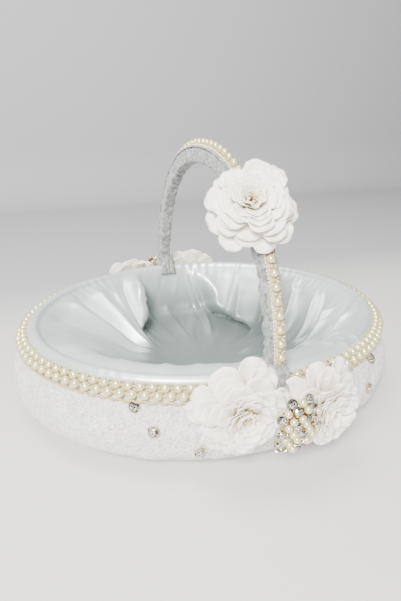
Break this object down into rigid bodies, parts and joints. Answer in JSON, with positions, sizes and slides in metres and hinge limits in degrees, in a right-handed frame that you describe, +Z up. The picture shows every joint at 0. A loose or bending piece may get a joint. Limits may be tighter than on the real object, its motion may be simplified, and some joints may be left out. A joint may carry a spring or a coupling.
{
  "type": "flower girl basket",
  "caption": "Padded oval basket with a fixed arched handle, gathered satin lining, pearl rows, fabric flowers, brooches and rhinestones.",
  "frame": {"origin": "centre of the flat underside, on the table", "axes": "+Z up, X along the oval's long axis, -Y towards the decorated front that faces the viewer"},
  "size_m": [0.2808, 0.291, 0.1798],
  "materials": {
    "velvet": "short-pile ivory velvet, matt",
    "satin": "silver-white satin with a soft sheen",
    "pearl": "glossy cream imitation pearl",
    "braid": "gold-cream woven tape",
    "board": "stiff pressed board, matt, covered",
    "foam": "soft wadding, matt, covered",
    "felt": "off-white felt, matt",
    "wood": "plain, covered",
    "petal": "ivory chiffon with heat-curled edges, soft satin",
    "stamen": "gold-brown threads with pearl tips",
    "gold": "pale gold plating, polished",
    "crystal": "clear faceted rhinestone"
  },
  "bodies": {
    "root": {"back_brooch_cluster": "pearl", "back_brooch_plate": "gold", "back_left_flower_backing": "felt", "back_left_flower_inner_petals": "petal", "back_left_flower_middle_petals": "petal", "back_left_flower_outer_petals": "petal", "back_left_flower_stamens": "stamen", "back_rhinestone_1": "crystal", "back_rhinestone_2": "crystal", "back_rhinestone_3": "crystal", "back_rhinestone_4": "crystal", "back_rhinestone_5": "crystal", "back_right_flower_backing": "felt", "back_right_flower_inner_petals": "petal", "back_right_flower_middle_petals": "petal", "back_right_flower_outer_petals": "petal", "back_right_flower_stamens": "stamen", "base_board": "board", "base_cover": "felt", "basket_form": "board", "floor_pad": "foam", "foam_padding": "foam", "foot_wrap_back": "velvet", "foot_wrap_front": "velvet", "front_brooch_cluster": "pearl", "front_brooch_plate": "gold", "front_left_flower_backing": "felt", "front_left_flower_inner_petals": "petal", "front_left_flower_middle_petals": "petal", "front_left_flower_outer_petals": "petal", "front_left_flower_stamens": "stamen", "front_rhinestone_1": "crystal", "front_rhinestone_2": "crystal", "front_rhinestone_3": "crystal", "front_rhinestone_4": "crystal", "front_rhinestone_5": "crystal", "front_right_flower_backing": "felt", "front_right_flower_inner_petals": "petal", "front_right_flower_middle_petals": "petal", "front_right_flower_outer_petals": "petal", "front_right_flower_stamens": "stamen", "handle_core": "wood", "handle_flower_backing": "felt", "handle_flower_inner_petals": "petal", "handle_flower_middle_petals": "petal", "handle_flower_outer_petals": "petal", "handle_flower_stamens": "stamen", "handle_pearls": "pearl", "handle_seed_left": "pearl", "handle_seed_right": "pearl", "handle_sleeve": "velvet", "handle_tape": "braid", "lining_band": "satin", "pearl_row_lower": "pearl", "pearl_row_upper": "pearl", "pearl_tape": "braid", "rim_hoop": "wood", "satin_lining": "satin", "velvet_cover": "velvet"}
  },
  "joints": []
}
